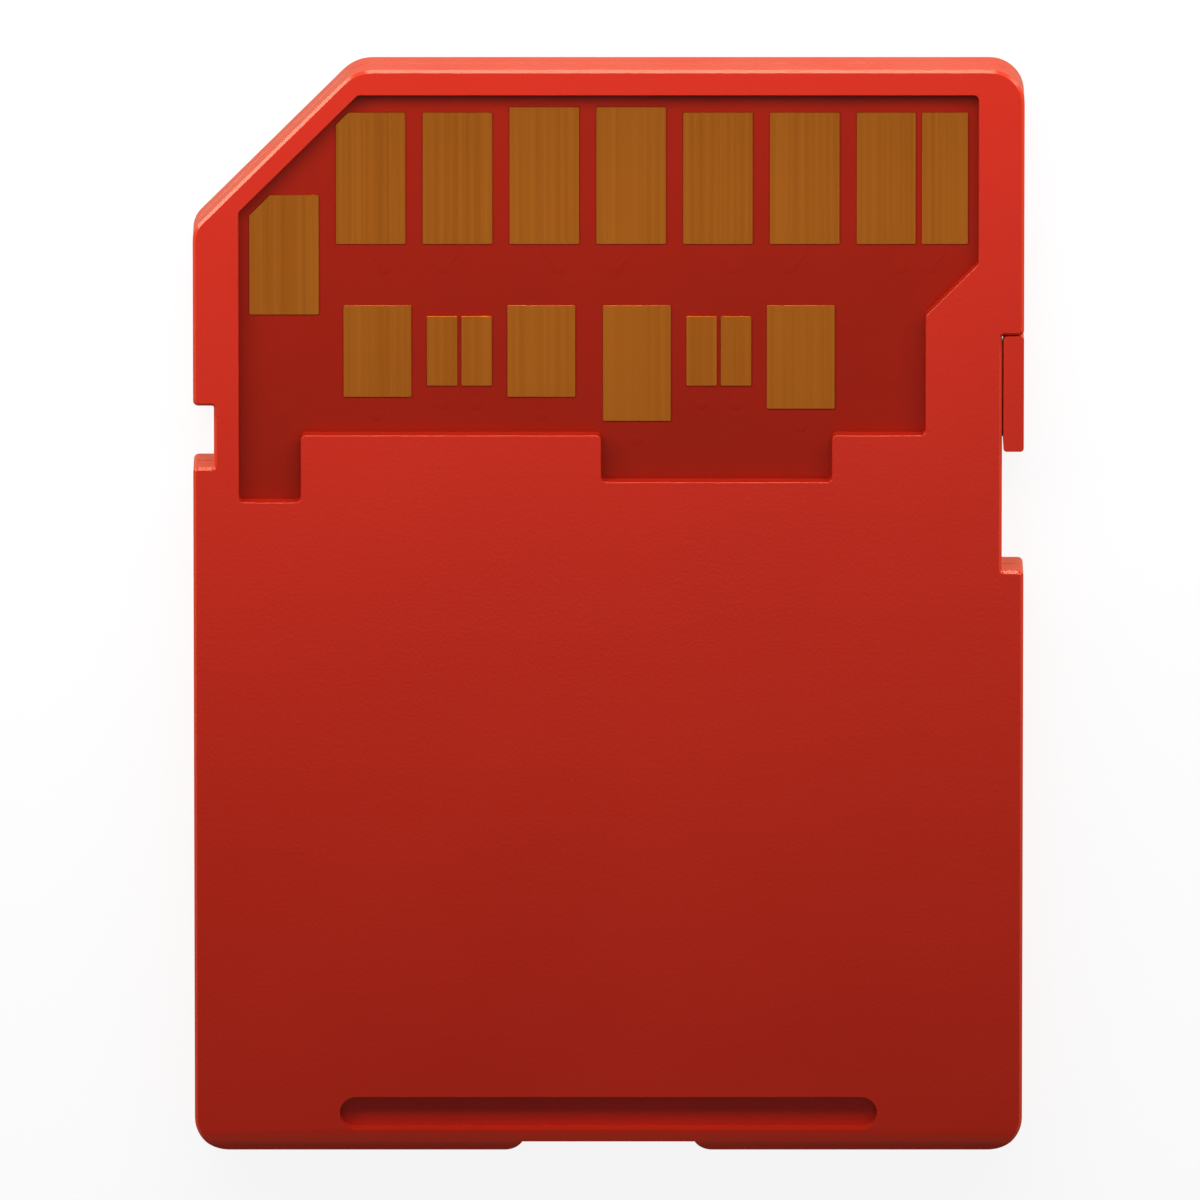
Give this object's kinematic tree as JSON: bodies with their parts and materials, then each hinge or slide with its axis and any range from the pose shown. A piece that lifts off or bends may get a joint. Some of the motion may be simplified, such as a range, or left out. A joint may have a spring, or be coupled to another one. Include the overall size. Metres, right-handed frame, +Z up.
{
  "type": "memory card",
  "caption": "Flat memory card with a cut corner, a recessed window of gold contacts in two rows, a sliding write-protect tab, a latch notch and a finger groove.",
  "frame": {"origin": "middle of the label side, which the card rests on", "axes": "+X across the card to the write-protect side, +Y toward the contact end, +Z up out of the contact side"},
  "size_m": [0.024, 0.032, 0.0021],
  "materials": {
    "shell": "satin moulded red",
    "slider": "satin moulded red",
    "board": "dark red solder mask",
    "contact": "brushed gold plating",
    "package": "black moulding compound",
    "capacitor": "tan ceramic",
    "resistor": "dark ceramic"
  },
  "bodies": {
    "card": {"back_shell": "shell", "front_shell": "shell", "circuit_board": "board", "contact_1": "contact", "contact_2": "contact", "contact_3": "contact", "contact_4": "contact", "contact_5": "contact", "contact_6": "contact", "contact_7": "contact", "contact_8": "contact", "contact_9": "contact", "contact_10": "contact", "contact_11": "contact", "contact_12": "contact", "contact_13": "contact", "contact_14": "contact", "contact_15": "contact", "contact_16": "contact", "contact_17": "contact", "memory_chip": "package", "controller_chip": "package", "capacitor_1": "capacitor", "capacitor_2": "capacitor", "capacitor_3": "capacitor", "capacitor_4": "capacitor", "resistor_1": "resistor", "resistor_2": "resistor", "resistor_3": "resistor", "resistor_4": "resistor"},
    "slider": {"write_protect_slider": "slider"}
  },
  "joints": [
    {"name": "write_protect_slide", "type": "slide", "parent": "card", "child": "slider", "axis": [0, -1, 0], "range_m": [0, 0.00348]}
  ]
}
